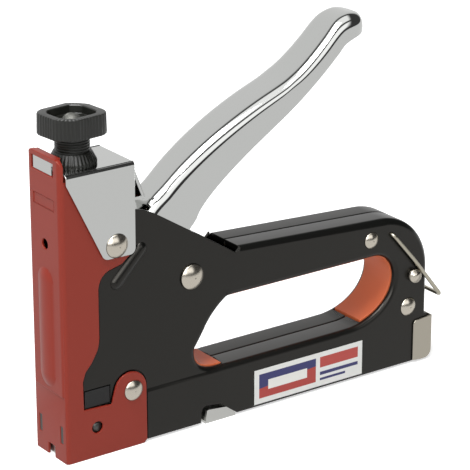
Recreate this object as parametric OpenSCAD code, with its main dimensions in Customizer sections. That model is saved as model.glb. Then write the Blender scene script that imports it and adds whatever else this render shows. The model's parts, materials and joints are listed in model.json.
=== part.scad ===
// Heavy-duty hand staple gun: pressed-steel body halves, chrome squeeze lever,
// spring-driven hammer with a power adjuster, and a rail magazine that pulls out
// at the rear. Millimetres, +Z up. The nose is towards -X, the magazine towards +X.
// Inside this file x is measured from the nose face; about_origin() then moves
// every piece so that the origin lies under the middle of the gun, on its base.

/* [Body] */
// Length of the black body, from the nose face to its rear edge
body_length = 170.3; // [166:0.1:178]
// Width across the outside of the two body halves
body_width = 21.2; // [20.4:0.2:24]
// Thickness of the pressed body steel
body_wall = 1.2; // [1:0.1:1.4]
// Height of the magazine rail, which is the floor of the finger loop
rail_height = 22.1; // [21.6:0.1:24]
// Height of the grip at its front end
grip_top_front = 68.6; // [67.6:0.2:70]
// Height of the grip at its rear end
grip_top_rear = 64.4; // [63:0.2:66]
// Height of the underside of the grip
grip_under = 49.6; // [48:0.2:50.4]
// Radius of the body's rear corner, side view
rear_corner_r = 24.3; // [18:0.1:25]
// Distance from the bracket's upper face down to the top of the body halves
body_front_drop = 18.8; // [17.6:0.2:19.6]
// Chamfer that stands for the pressed bend along the grip
bend = 1.8; // [1.2:0.1:2]
// Height of the body's lower edge above the base
body_lift = 1; // [0.8:0.1:1.4]

/* [Nose cover and bracket] */
// Width across the red nose cover, body width plus its lap on each side
cover_lap = 0.4; // [0.3:0.05:0.6]
// Thickness of the nose cover
cover_wall = 1; // [0.8:0.1:1.1]
// Distance from the bracket's upper face down to the top of the cover's cheeks
cover_drop = 2.6; // [2.2:0.2:4.6]
// Height of the hook loop above the cheeks
loop_height = 8.2; // [7.8:0.1:9]
// Radius of the cover's vertical front edges
cover_corner = 2.2; // [1:0.1:2.4]
// Height of the domed rib pressed out of the front of the cover
rib_height = 1.4; // [0.8:0.1:1.6]
// Width of the front rib
rib_width = 10.8; // [10:0.2:11.6]
// Height of the upper face of the top bracket
bracket_height = 111.6; // [111:0.1:113]
// Thickness of the bracket plate
bracket_wall = 1.2; // [1:0.1:1.4]
// Length of the bracket, front to rear
bracket_length = 31; // [29.4:0.2:32]

/* [Lever] */
// Distance from the nose face to the lever's pivot
pivot_x = 56.5; // [56:0.1:57.5]
// Height of the lever's pivot
pivot_z = 61.3; // [60.8:0.1:61.8]
// Thickness of the lever's steel
lever_wall = 1.5; // [1.2:0.1:1.8]
// Bend radius along the edges of the lever's back
lever_bend = 3.6; // [2.4:0.2:4]
// Amount by which each side of the lever bellies out half-way along
lever_belly = 1; // [0:0.1:1.3]
// Gap between the lever and the inside of each body half
lever_gap = 0.3; // [0.25:0.05:0.5]
// Angle through which the lever is squeezed
lever_swing = 44; // [40:1:44]
// Distance from the lever's pivot to its lifting pin
lift_arm = 24; // [22:0.5:24]

/* [Hammer and adjuster] */
// Distance from the nose face to the axis of the spring and knob
axis_x = 12.45; // [12.2:0.05:12.8]
// Thickness of the driver blade
blade_thickness = 1.1; // [0.9:0.05:1.2]
// Width of the driver blade
blade_width = 11.2; // [10.4:0.1:11.4]
// Height of the hammer's underside at rest
hammer_foot = 34; // [33:0.5:35]
// Height of the hammer block
hammer_height = 24; // [22:0.5:25]
// Outer diameter of the main spring
spring_od = 12; // [11:0.2:12.4]
// Wire diameter of the main spring
spring_wire = 2; // [1.6:0.1:2.2]
// Number of turns of the main spring
spring_turns = 8; // [6:1:9]
// Diameter of the threaded neck of the power knob
neck_d = 12.8; // [12:0.1:13]
// Half length of the knob's head, side to middle
knob_half_length = 10.8; // [10.2:0.1:11.2]
// Half width of the knob's head
knob_half_width = 10; // [9.6:0.1:10.6]
// Height of the knob's head
knob_head_height = 7.9; // [7.4:0.1:9]
// Length of threaded neck between the bracket and the knob's head
neck_showing = 11.1; // [10.7:0.1:12.9]
// Outer diameter of the knurled lock collar
collar_d = 17.6; // [16.6:0.1:18.6]
// Height of the lock collar, which narrows to the neck above its rim
collar_height = 4.9; // [4.4:0.1:5.4]

/* [Magazine] */
// Outer width of a staple
staple_crown = 11.3; // [10.6:0.1:11.8]
// Thickness of the magazine steel
rail_wall = 0.9; // [0.7:0.05:1]
// Height of the inner rail that the staples ride on
staple_rail_height = 13.7; // [12:0.1:14]
// Distance by which the end cap stands out behind the body
cap_overhang = 2; // [1.7:0.1:7]
// Height of the end cap
cap_height = 18.2; // [16:0.2:18.6]
// Thickness of the end cap
cap_wall = 0.6; // [0.5:0.05:0.8]

/* [Wire bail] */
// Diameter of the bail wire
bail_wire = 1.6; // [1.2:0.1:1.8]
// Distance from the bail's pivot to the body's rear edge
bail_back = 19.3; // [18.3:0.1:21.3]
// Distance from the grip's rear height down to the bail's pivot
bail_drop = 6.8; // [6.4:0.1:7.8]
// Reach of the bail's rear end from its pivot
bail_reach = 39; // [37:0.5:39]

/* [Hidden] */

fine = 64;              // facets on pins, bores and heads
eps = 0.01;             // overshoot of a cut past a face
slip = 0.05;            // gap at a seated or running fit
part_gap = 0.3;         // gap between pieces that move past each other

// Heights that follow the bracket, and the length with the end cap
body_front_height = bracket_height - body_front_drop;
cover_height = bracket_height - cover_drop;
knob_under = bracket_height + neck_showing;
gun_length = body_length + cap_overhang;

// Half widths, outwards from the middle plane y = 0
body_hw = body_width / 2;
body_in_hw = body_hw - body_wall;
cover_hw = body_hw + cover_lap;
cover_in_hw = cover_hw - cover_wall;
nose_hw = cover_in_hw - slip;
nose_in_hw = nose_hw - body_wall;
bracket_in_hw = cover_hw + slip;
bracket_hw = bracket_in_hw + bracket_wall;
lever_hw = body_in_hw - lever_gap;
lever_in_hw = lever_hw - lever_wall;

// Nose: layers behind the front face
nose_step = 0.5;
nose_step_z = 26.5;
guide_x0 = nose_step + cover_wall + slip;
blade_x0 = cover_wall + 1;
blade_x1 = blade_x0 + blade_thickness;
guide_x1 = blade_x1 + slip;
nose_front_x = guide_x0 + slip;

// Places of the rivets, [x, z]
pivot = [pivot_x, pivot_z];
bracket_rivet_at = [22.8, bracket_height - 30.2];
nose_rivet_at = [29.7, 22.6];
stud_at = [13.8, 11.9];
grip_rivet_at = [body_length - 29.3, grip_top_rear - 7.2];
rear_rivet_at = [body_length - 10, rail_height + 2.9];
bail_at = [body_length - bail_back, grip_top_rear - bail_drop];

// Radii of the rivet heads and shanks
pivot_head_r = 5.1;
pivot_shank_r = 3;
bush_r = 4.6;
bracket_head_r = 4.7;
nose_head_r = 4.1;
grip_head_r = 3.4;
rear_head_r = 3.9;
shank_r = 2;
spacer_r = 3.2;
bail_stop_r = 2.7;
bail_stop_height = 2.6;

// Lifting pin and the hammer's lug
lift_start = -lever_swing / 2;
lift_pin_r = 2.5;
lift_rest = [pivot_x - lift_arm * cos(lift_start), pivot_z + lift_arm * sin(lift_start)];
lift_travel = 2 * lift_arm * sin(lever_swing / 2);
lug_slot = lift_pin_r + part_gap;
lug_wall = 3.5;

// Knob, thread and spring stack
thread_pitch = 1.5;
knob_up = 5;
knob_down = 3.5;
neck_foot = bracket_height - 10.6;
seat_height = 2.8;
seat_top = neck_foot - slip;
seat_z = seat_top - seat_height;
seat_r = 7.2;
screw_r = 2.5;
screw_head_r = 3.65;
bush_flange_z = bracket_height - bracket_wall;
bush_foot = neck_foot + knob_up + part_gap;
thread_bush_r = 8.3;
collar_z = bracket_height;
knob_turned = 6;
rim_depth = 1.9;
bracket_front = rim_depth + 0.2;
hook_slot_y = [-6.6, 7.8];
hook_slot_z = [bracket_height - 1.3, bracket_height + 3.6];
collar_rim = 1.3;
hammer_top = hammer_foot + hammer_height;

// Magazine
channel_in_hw = staple_crown / 2 + part_gap;
channel_hw = channel_in_hw + 1.1;
rail_hw = staple_crown / 2 - 0.7;
rail_z = 1.2;
rail_top = rail_z + staple_rail_height;
pusher_wall = 0.7;
pusher_top = rail_top + 0.15 + 1.15;
channel_top = pusher_top + part_gap + 1.1;
channel_end = gun_length - 11.3;
rod_z = 6.5;
rod_r = 1.2;
cap_in_hw = body_hw + 0.15;
cap_hw = cap_in_hw + cap_wall;
cap_x0 = gun_length - 9.4;
cap_z = 0.9;
pusher_x = guide_x1 + 0.5;
pusher_length = 12.4;

// Wire bail: the arm's kink, and its tip at rest
bail_r = bail_wire / 2;
bail_hw = body_hw + 0.7 + bail_r;
bail_tilt = -51;
bail_kink = bail_at + [10.1, -11.9];
bail_tip = bail_at + bail_reach * [cos(bail_tilt), sin(bail_tilt)];
bail_run = (bail_tip - bail_kink) / norm(bail_tip - bail_kink);
bail_stop_at = bail_kink + 7 * bail_run
    + (bail_r + bail_stop_r + 0.1) * [bail_run[1], -bail_run[0]];
overall_length = bail_tip[0] + bail_r;

// ---------- curves ----------

// Points on an elliptical arc, angles in degrees
function arc(c, rx, rz, a0, a1, n) =
    [for (i = [0:n]) let (a = a0 + (a1 - a0) * i / n) [c[0] + rx * cos(a), c[1] + rz * sin(a)]];

// Points on a quadratic curve from a to b, pulled towards m
function curve(a, m, b, n) =
    [for (i = [0:n]) let (t = i / n) (1 - t) * (1 - t) * a + 2 * t * (1 - t) * m + t * t * b];

// Unit normal on the left of the edge from p to q
function left_normal(p, q) = let (d = q - p) [-d[1], d[0]] / norm(d);

// Moves the edges of a counter-clockwise outline inwards by d
function inset(pts, d) = let (n = len(pts))
    [for (i = [0:n - 1]) let (
        a = left_normal(pts[(i + n - 1) % n], pts[i]),
        b = left_normal(pts[i], pts[(i + 1) % n]))
        pts[i] + d * (a + b) / (1 + a * b)];

// ---------- side outlines, [x, z], counter-clockwise ----------

corner_at = [body_length - rear_corner_r, grip_top_rear - rear_corner_r];
grip_front = [73.4, grip_top_front];
// Where the line along the grip's top runs into the rear corner's round
grip_run = grip_front - corner_at;
corner_sweep = atan2(grip_run[1], grip_run[0]) - acos(rear_corner_r / norm(grip_run));
grip_end = corner_at + rear_corner_r * [cos(corner_sweep), sin(corner_sweep)];
// The grip's top starts behind the lever's opening, at a small step
along_grip = (grip_end - grip_front) / norm(grip_end - grip_front);
grip_start = grip_front + 5 * along_grip;
grip_step_foot = grip_start + [-1.8, -1.9];

// The black body without its rear corner, which is a true round
body_outline = concat(
    [[nose_front_x, body_lift], [body_length, body_lift]],
    [[body_length, corner_at[1]], corner_at, grip_end],
    [grip_start, grip_step_foot, [43, body_front_height - 4.9]],
    curve([42, body_front_height - 4.3], [36, body_front_height - 0.2], [31, body_front_height], 5),
    [[nose_front_x, body_front_height]]);

// The finger loop
loop_rear = [body_length - 26.9, grip_under - 10.2];
loop_floor_end = loop_rear[0] - 17.4;
finger_loop = concat(
    [[72, rail_height]],
    [[loop_floor_end, rail_height]],
    arc([loop_rear[0] - 13.4, loop_rear[1]], 23.3, loop_rear[1] - rail_height, -84, -8, 12),
    arc(loop_rear, 9.9, grip_under - loop_rear[1], 0, 90, 8),
    [[74.6, grip_under]],
    curve([73, grip_under - 0.2], [66.5, grip_under - 4.6], [63.2, loop_rear[1]], 6),
    curve([62.5, loop_rear[1] - 1.2], [60, loop_rear[1] - 5.2], [58.4, rail_height + 9.9], 4),
    curve([58, rail_height + 8.9], [57.6, rail_height + 0.3], [68, rail_height], 8));

// Where the red cover laps over the body; the body is pressed in under it
cover_outline = concat(
    [[0, 0], [34.3, 0], [35.6, 1.4], [35.5, 23]],
    arc([28.5, 23], 7, 7.2, 10, 168, 12),
    [[20.2, 19.5], [8.2, 20], [8, 31.2], [9.2, 34.8], [11.8, 37.7]],
    curve([13.2, 40], [15.4, 43], [15.4, 47], 4),
    [bracket_rivet_at + [-7.4, -15.8]],
    curve(bracket_rivet_at + [-7.1, -14], bracket_rivet_at + [-6, -9.6], bracket_rivet_at + [-0.8, -8.8], 5),
    [bracket_rivet_at + [2.7, -8], bracket_rivet_at + [6.2, -5.4], bracket_rivet_at + [6.2, 4.6]],
    [[16, cover_height], [0, cover_height]]);

// Side plate of the top bracket
bracket_side = concat(
    arc(bracket_rivet_at - [3.4, 1.4], 3.2, 3.2, 215, 265, 4),
    arc([bracket_length - 2.6, bracket_rivet_at[1] - 2.3], 2.4, 2.4, 275, 360, 6),
    [[bracket_length - 0.1, bracket_height - bracket_wall - eps],
     [bracket_front, bracket_height - bracket_wall - eps], [bracket_front, bracket_height - 3.4]]);

// Lever side view, measured from its pivot: points along its back, and the free edge
// opposite each one
lever_back = carried_by_pivot(concat([[-22, 23.4], [-18.9, 27.3], [-14.5, 32.1]],
    curve([-9.5, 35.9], [9, 53], [43, 65.7], 6),
    curve([47.8, 68.1], [55.5, 71.9], [67.5, 84], 5),
    [[71, 86.3], [75, 87.4], [78.5, 87.3], [81.5, 86.4], [83.5, 84.9], [84.5, 83.1]]));
lever_edge = carried_by_pivot(concat([[-16, 3.4], [-14, 4.7], [2.5, 12.7]],
    curve([2.8, 20.7], [6.5, 31.7], [36.4, 49.9], 6),
    curve([41.5, 53], [55.5, 61.9], [68.3, 73.7], 5),
    [[71.1, 76.4], [74.5, 78.1], [77.7, 78.9], [80.7, 79.3], [82.9, 79.7], [84.1, 80.3]]));
function carried_by_pivot(pts) = [for (p = pts) pivot + p];

// ---------- shared pieces ----------

// Shifts the gun so that the origin lies under its middle
module about_origin() { translate([(rib_height - overall_length) / 2, 0, 0]) children(); }

// Extrudes a side outline across the gun, from y0 to y1
module slab(pts, y0, y1) {
    translate([0, y1, 0]) rotate([90, 0, 0]) linear_extrude(y1 - y0) polygon(pts);
}

// A round bar across the gun at p, from y0 to y1
module cross_bar(p, r, y0, y1) {
    translate([p[0], y1, p[1]]) rotate([90, 0, 0]) cylinder(r = r, h = y1 - y0, $fn = fine);
}

// A box from corner a to corner b
module block(a, b) { translate(a) cube(b - a); }

// A box that lies evenly on both sides of the middle plane
module mid_block(x0, x1, hw, z0, z1) { block([x0, -hw, z0], [x1, hw, z1]); }

// Both sides of the gun
module both_sides() { children(); mirror([0, 1, 0]) children(); }

// Joins rings of equally many points, given in 3-D, into one closed solid
module loft(rings) {
    n = len(rings[0]);
    m = len(rings);
    polyhedron(
        points = [for (ring = rings) each ring],
        faces = concat(
            [[for (i = [n - 1:-1:0]) i]],
            [for (k = [0:m - 2], i = [0:n - 1]) let (j = (i + 1) % n)
                each [[k * n + i, k * n + j, (k + 1) * n + j], [k * n + i, (k + 1) * n + j, (k + 1) * n + i]]],
            [[for (i = [0:n - 1]) (m - 1) * n + i]]),
        convexity = 8);
}
function at_y(pts, y) = [for (p = pts) [p[0], y, p[1]]];

// Domed rivet head on the near side, its flat face at y = -hw
module dome_head(p, r, hw, rise) {
    ball_r = (r * r + rise * rise) / (2 * rise);
    translate([p[0], -hw, p[1]]) rotate([90, 0, 0]) intersection() {
        translate([0, 0, rise - ball_r]) sphere(r = ball_r, $fn = 96);
        cylinder(r = r + 1, h = rise + 1, $fn = fine);
    }
}

// A rivet through the gun with a domed head on each side
module through_rivet(p, head_r, shank, hw, rise) {
    cross_bar(p, shank, -hw - eps, hw + eps);
    both_sides() dome_head(p, head_r, hw, rise);
}

// A round wire wound about +Z, as a closed solid
module coil(mean_r, wire_r, z0, z1, turns, steps, sides) {
    count = turns * steps;
    rise = (z1 - z0 - 2 * wire_r) / count;
    loft([for (k = [0:count]) let (a = 360 * k / steps, z = z0 + wire_r + rise * k)
        [for (s = [0:sides - 1]) let (b = 360 * s / sides, d = mean_r + wire_r * cos(b))
            [d * cos(a), d * sin(a), z + wire_r * sin(b)]]]);
}

// ---------- body halves ----------

// Side view of the body
module body_side() {
    polygon(body_outline);
    translate(corner_at) circle(r = rear_corner_r, $fn = 128);
}

// A chamfer along the edge of the near side from p to q, the body lying on its right
module edge_chamfer(p, q) {
    along = norm(q - p);
    translate([p[0], -body_hw, p[1]]) rotate([0, -atan2(q[1] - p[1], q[0] - p[0]), 0])
        rotate([90, 0, 90]) linear_extrude(along)
            polygon([[-1, -bend - 1], [bend + 4, 4], [-1, 4]]);
}

// Solid of one body half, with the bend along its grip and rear edge
module body_form() {
    difference() {
        rotate([90, 0, 0]) linear_extrude(body_hw) body_side();
        // The straight chamfers run 0.3 mm on into the round one, so that no fin is left
        edge_chamfer(grip_start, grip_end + 0.3 * along_grip);
        edge_chamfer([body_length, corner_at[1] + 0.3], [body_length, cap_z + cap_height + 1]);
        translate([corner_at[0], -body_hw, corner_at[1]]) rotate([90, 0, 0])
            rotate_extrude(angle = corner_sweep, $fn = 128)
                polygon([[rear_corner_r - bend - 1, 1], [rear_corner_r + 4, -bend - 4], [rear_corner_r + 4, 1]]);
    }
}

module finger_loop_cut() { slab(finger_loop, -body_hw - 1, eps); }

// The hollow of one body half: open at the nose, the lever slot, the base and the rear
module body_hollow() {
    flange = body_wall + 0.2;
    translate([0, eps, 0]) rotate([90, 0, 0]) linear_extrude(body_in_hw + eps)
        difference() {
            union() {
                polygon(inset(body_outline, flange));
                translate(corner_at) circle(r = rear_corner_r - flange, $fn = 128);
                translate([-5, -5]) square([grip_start[0] + 5, 120]);
                translate([-5, -5]) square([body_length + 10, 12]);
                translate([channel_end, -5]) square([20, rail_height + 3]);
            }
            polygon(inset(finger_loop, -flange));
            polygon(body_rim_keep);
        }
}
// Sheet left under the finger loop's floor, where the halves meet between the liner's ends
rim_start = 71.2;
rim_end = loop_floor_end + 12.4;
body_rim_keep = [[rim_start - 1, rail_height - 1.4], [rim_end, rail_height - 1.4],
    [rim_end, rail_height], [rim_start - 1, rail_height]];

// The rolled rim of the finger loop stops short of the liner, except along the floor
module liner_room() {
    rim = 2.2;
    translate([0, eps, 0]) rotate([90, 0, 0]) linear_extrude(body_hw - rim)
        difference() {
            polygon(inset(finger_loop, -4));
            translate([rim_start, 0]) square([rim_end - rim_start - 1, rail_height + 1.6]);
        }
}

// The base cut-out that shows the channel's foot
base_notch = [[60.2, -1], [60.2, 4.5], [60.9, 6.6], [62.2, 7.6], [69.7, 6.6], [71.3, 5.1],
    [76.8, body_lift], [76.8, -1]];

module body_shell() {
    difference() {
        union() {
            difference() {
                body_form();
                body_hollow();
                // Pressed in under the nose cover
                slab(inset(cover_outline, -0.5), -body_hw - 1, -nose_hw);
            }
            // Inner wall of the pressed-in part
            intersection() {
                slab(inset(cover_outline, -1.7), -nose_hw, -nose_in_hw);
                slab(body_outline, -body_hw, 0);
            }
            pressed_rib();
        }
        finger_loop_cut();
        liner_room();
        slab(base_notch, -body_hw - 1, eps);
        // Window over the nose block
        block([8.7, -body_hw - 1, 20.2], [19.8, 0, 27.1]);
        for (p = [bracket_rivet_at, nose_rivet_at, grip_rivet_at, rear_rivet_at, bail_stop_at])
            cross_bar(p, shank_r + slip, -body_hw - 1, eps);
        cross_bar(stud_at, 1.7 + slip, -body_hw - 1, eps);
        cross_bar(pivot, pivot_shank_r + slip, -body_hw - 1, eps);
        cross_bar(bail_at, bail_r + slip, -body_hw - 1, eps);
    }
}

// Slanting stiffening rib pressed outwards beside the bracket
module pressed_rib() {
    from = bracket_rivet_at + [11.4, -4.2];
    to = bracket_rivet_at + [0.6, -15.2];
    r = 2.8;
    depth = r - 1.1;
    length = norm(from - to);
    intersection() {
        translate([to[0], -body_hw + depth, to[1]])
            rotate([0, 90 - atan2(from[1] - to[1], from[0] - to[0]), 0]) {
                cylinder(r = r, h = length, $fn = 48);
                sphere(r = r, $fn = 48);
                translate([0, 0, length]) sphere(r = r, $fn = 48);
            }
        block([to[0] - 9, -body_hw - 2, to[1] - 9], [from[0] + 9, -body_in_hw, from[1] + 9]);
    }
}

module body_shell_left() { color("#2b2b2a") about_origin() body_shell(); }
module body_shell_right() {
    color("#2b2b2a") about_origin() mirror([0, 1, 0]) body_shell();
}

// Soft liner of the finger loop: grip, rear and front, open along the floor
module grip_liner() {
    proud = 0.6;
    backing = 3;
    hw = body_hw - 2.2 - 0.15;
    color("#b5603c") about_origin() difference() {
        slab(inset(finger_loop, -backing), -hw, hw);
        slab(inset(finger_loop, proud), -hw - 1, hw + 1);
        mid_block(rim_start - 0.2, rim_end - 0.4, hw + 1, rail_height - 6, rail_height + 4);
        mid_block(40, body_length, hw + 1, 0, rail_height - 1.6);
    }
}

// Printed plate on the magazine side, left plain
module label_plate() {
    rear = body_length - 33;
    color("#f2f2ee") about_origin()
        block([rear - 52.4, -body_hw - 0.2, body_lift + 0.9], [rear, -body_hw, rail_height - 6]);
}

// ---------- nose ----------

module nose_cover() {
    color("#a03a32") about_origin() difference() {
        union() {
            difference() {
                intersection() {
                    slab(cover_outline, -cover_hw, cover_hw);
                    round_front(60, cover_hw, cover_corner, cover_height + 1);
                }
                // Hollow between the cheeks, behind the front plate
                mid_block(cover_wall, 60, cover_in_hw, nose_step_z, cover_height + 1);
                mid_block(nose_step + cover_wall, 60, cover_in_hw, -1, nose_step_z + eps);
                // The nose is pressed back a little below the step
                mid_block(-1, nose_step, cover_hw + 1, -1, nose_step_z);
            }
            hook_loop();
            rib_form();
        }
        // The rib is hollow behind
        translate([cover_wall, 0, 0]) rib_form();
        // Slot that hooks over the bracket's tongue
        block([-1, hook_slot_y[0], hook_slot_z[0]], [cover_wall + 1, hook_slot_y[1], hook_slot_z[1]]);
        // Shallow rectangle pressed into the front, left bare
        block([-1, -7, cover_height - 11.5], [0.25, 7, cover_height - 7.5]);
        // Sight hole
        translate([-1, 0, cover_height - 25.6]) rotate([0, 90, 0]) cylinder(r = 2, h = 4, $fn = fine);
        // Small slots for the guide plate's tabs, and the outlet notch
        both_sides() block([-1, 6.4, 7.4], [3, 8.2, 14.2]);
        mid_block(-1, 3, 2.2, -1, 4.6);
        cross_bar(stud_at, 2.3, -cover_hw - 1, cover_hw + 1);
        for (p = [nose_rivet_at, bracket_rivet_at])
            cross_bar(p, shank_r + slip, -cover_hw - 1, cover_hw + 1);
    }
}

// Tall shallow dome that stands out ahead of the nose face
module rib_form() {
    hw = rib_width / 2;
    r = (hw * hw + rib_height * rib_height) / (2 * rib_height);
    low = 28 + hw;
    high = cover_height - 34.2 - hw;
    intersection() {
        translate([r - rib_height, 0, 0]) {
            translate([0, 0, low]) cylinder(r = r, h = high - low, $fn = 180);
            for (z = [low, high]) translate([0, 0, z]) sphere(r = r, $fn = 180);
        }
        mid_block(-rib_height - 1, 0.3, hw + 1, low - hw - 1, high + hw + 1);
    }
}

// Upright block from x = 0 to x1 whose two front edges are rounded
module round_front(x1, hw, r, top) {
    mid_block(r, x1, hw, -1, top);
    mid_block(0, x1, hw - r, -1, top);
    both_sides() translate([r, hw - r, -1]) cylinder(r = r, h = top + 1, $fn = fine);
}

// Face of the hook loop, arched at its upper corners, from x0 to x1
module loop_face(x0, x1, hw, z0, top, r) {
    mid_block(x0, x1, hw, z0, top - r);
    mid_block(x0, x1, hw - r, z0, top);
    both_sides() translate([x0, hw - r, top - r]) rotate([0, 90, 0])
        cylinder(r = r, h = x1 - x0, $fn = fine);
}

// Hook loop above the cheeks: a plate whose rim is turned back in front of the bracket
module hook_loop() {
    r = 3.4;
    top = cover_height + loop_height;
    intersection() {
        union() {
            loop_face(0, cover_wall, cover_hw, cover_height - eps, top, r);
            difference() {
                loop_face(cover_wall - eps, rim_depth, cover_hw, cover_height - eps, top, r);
                loop_face(0, rim_depth + 1, cover_hw - cover_wall, cover_height - 1,
                    top - cover_wall, r - cover_wall);
            }
            // Deeper lip in the middle of the top edge
            mid_block(rim_depth - eps, 3, cover_hw - r, top - cover_wall, top);
        }
        round_front(60, cover_hw, cover_corner, top + 1);
    }
}

// Block behind the cover's windows that carries the bumper
module nose_block() {
    top = hammer_foot - 0.2 - 5.6;
    color("#232322") about_origin() {
        mid_block(blade_x1 + 2 * part_gap, 24, nose_in_hw - slip, channel_top + slip, top);
        mid_block(8.9, 19.6, cover_hw - 0.7, 20.4, 26.9);
    }
}

module bumper() {
    color("#3a3a3a") about_origin()
        mid_block(5.5, 19, 6, hammer_foot - 0.2 - 5.6, hammer_foot - 0.2);
}

// Steel plate behind the cover that guides the driver blade
module nose_guide_plate() {
    hw = nose_in_hw - slip;
    color("#9a9a96") about_origin() {
        difference() {
            mid_block(guide_x0, guide_x1, hw, 0.2, 26);
            mid_block(0, 10, blade_width / 2 + 0.2, -1, 30);
        }
        both_sides() block([0.75, 6.5, 7.5], [guide_x0 + eps, 8.1, 14.1]);
    }
}

// Locating studs of the nose, one on each side
module nose_studs() {
    color("#5a5a58") about_origin() both_sides()
        cross_bar(stud_at, 1.7, channel_hw + 0.1, cover_hw - 0.5);
}

// ---------- top bracket and power adjuster ----------

module top_bracket() {
    top = bracket_height;
    under = top - bracket_wall;
    color("#c4c4c2") about_origin() difference() {
        union() {
            both_sides() slab(bracket_side, -bracket_hw, -bracket_in_hw);
            // Top plate, with the bend along each long edge
            mid_block(bracket_front, bracket_length, bracket_hw - bracket_wall, under, top);
            both_sides() translate([bracket_front, bracket_hw - bracket_wall, under - eps])
                rotate([0, 90, 0]) rotate([0, 0, 90]) intersection() {
                    cylinder(r = bracket_wall, h = bracket_length - bracket_front - 0.1, $fn = fine);
                    cube([bracket_wall, bracket_wall, 60]);
                }
            bracket_tongue();
            rear_flange(under, top);
        }
        translate([axis_x, 0, under - 1])
            cylinder(r = neck_d / 2 + part_gap, h = bracket_wall + 2, $fn = fine);
        cross_bar(bracket_rivet_at, shank_r + slip, -bracket_hw - 1, bracket_hw + 1);
    }
}

// Tongue that passes through the cover's slot, with its lip turned up
module bracket_tongue() {
    under = bracket_height - bracket_wall;
    y0 = hook_slot_y[0] + 1.2;
    y1 = hook_slot_y[1] - 0.9;
    block([0.2, y0, under], [4, y1, bracket_height]);
    block([0.2, y0, under], [1.3, y1, hook_slot_z[1] + 0.2]);
}

// Rear flange, sloping down and back from the top plate, with its foot bent forwards
module rear_flange(under, top) {
    drop = [5.6, -15];
    slope = atan2(drop[0], -drop[1]);
    lip = 5.6;
    hw = bracket_in_hw - 0.6;
    foot = [bracket_length - 0.4 + drop[0], top - 0.2 + drop[1]];
    translate([bracket_length - 0.4, 0, top - 0.2]) rotate([0, -slope, 0])
        mid_block(-bracket_wall, 0, hw, -norm(drop), 0);
    mid_block(foot[0] - lip, foot[0] - 0.1, hw, foot[1], foot[1] + bracket_wall);
}

// Outline of the knob: a square with round corners, two of them drawn in to short_reach
module knob_outline(half_length, half_width, corner_r, short_reach) {
    bow = 1.3 * short_reach;
    intersection() {
        union() {
            square([2 * half_length, 2 * (half_width - corner_r)], center = true);
            square([2 * (half_length - corner_r), 2 * half_width], center = true);
            for (x = [-1, 1], y = [-1, 1])
                translate([x * (half_length - corner_r), y * (half_width - corner_r)])
                    circle(r = corner_r, $fn = 96);
        }
        rotate(44) translate([short_reach - bow, 0]) circle(r = bow, $fn = 180);
        rotate(44) translate([bow - short_reach, 0]) circle(r = bow, $fn = 180);
    }
}

module power_knob() {
    recess = 3;
    color("#2e2e2c") about_origin() translate([axis_x, 0, 0]) difference() {
        union() {
            translate([0, 0, knob_under]) rotate([0, 0, knob_turned])
                linear_extrude(knob_head_height)
                    knob_outline(knob_half_length, knob_half_width, 5.4, 11);
            translate([0, 0, neck_foot])
                cylinder(r = neck_d / 2, h = knob_under - neck_foot + 1, $fn = fine);
        }
        translate([0, 0, knob_under + knob_head_height - recess]) rotate([0, 0, knob_turned])
            linear_extrude(recess + 1)
                knob_outline(knob_half_length - 3.3, knob_half_width - 3.2, 3.4, 8);
        translate([0, 0, neck_foot - 1]) cylinder(r = screw_r + slip, h = 40, $fn = fine);
    }
}

// Long screw through the knob: domed head above, spring seat below
module adjusting_screw() {
    head_z = knob_under + knob_head_height - 3;
    rise = 2.6;
    ball_r = (screw_head_r * screw_head_r + rise * rise) / (2 * rise);
    color("#4a4a48") about_origin() translate([axis_x, 0, 0]) {
        translate([0, 0, seat_z - 3]) cylinder(r = screw_r, h = head_z - seat_z + 3, $fn = fine);
        translate([0, 0, head_z]) difference() {
            intersection() {
                translate([0, 0, rise - ball_r]) sphere(r = ball_r, $fn = 96);
                cylinder(r = screw_head_r + 1, h = rise + 1, $fn = fine);
            }
            translate([-5, -0.45, rise - 0.9]) cube([10, 0.9, 2]);
        }
    }
}

module spring_seat() {
    color("#8d8d89") about_origin() translate([axis_x, 0, 0]) difference() {
        union() {
            translate([0, 0, seat_z]) cylinder(r = seat_r, h = seat_height, $fn = fine);
            translate([0, 0, seat_z - 2]) cylinder(r = spring_od / 2 - spring_wire - 0.3, h = 2 + eps, $fn = fine);
        }
        translate([0, 0, seat_z - 5]) cylinder(r = screw_r + 0.1, h = 20, $fn = fine);
    }
}

module lock_collar() {
    grooves = 36;
    color("#262625") about_origin() translate([axis_x, 0, collar_z]) difference() {
        union() {
            cylinder(r = collar_d / 2, h = collar_rim, $fn = 96);
            translate([0, 0, collar_rim])
                cylinder(r1 = collar_d / 2, r2 = neck_d / 2 + 0.6, h = collar_height - collar_rim, $fn = 96);
        }
        translate([0, 0, -1]) cylinder(r = neck_d / 2 + 0.08, h = collar_height + 2, $fn = fine);
        for (i = [0:grooves - 1]) rotate([0, 0, i * 360 / grooves])
            translate([collar_d / 2 + 0.15, 0, -1]) cylinder(r = 0.45, h = collar_height + 2, $fn = 16);
    }
}

module threaded_bush() {
    color("#b08d57") about_origin() translate([axis_x, 0, 0]) difference() {
        translate([0, 0, bush_foot])
            cylinder(r = thread_bush_r, h = bush_flange_z - bush_foot, $fn = fine);
        translate([0, 0, bush_foot - 1]) cylinder(r = neck_d / 2 + 0.08, h = 20, $fn = fine);
    }
}

module main_spring() {
    color("#6f6f6c") about_origin() translate([axis_x, 0, 0])
        coil((spring_od - spring_wire) / 2, spring_wire / 2, hammer_top, seat_z, spring_turns, 14, 6);
}

// ---------- hammer ----------

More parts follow.
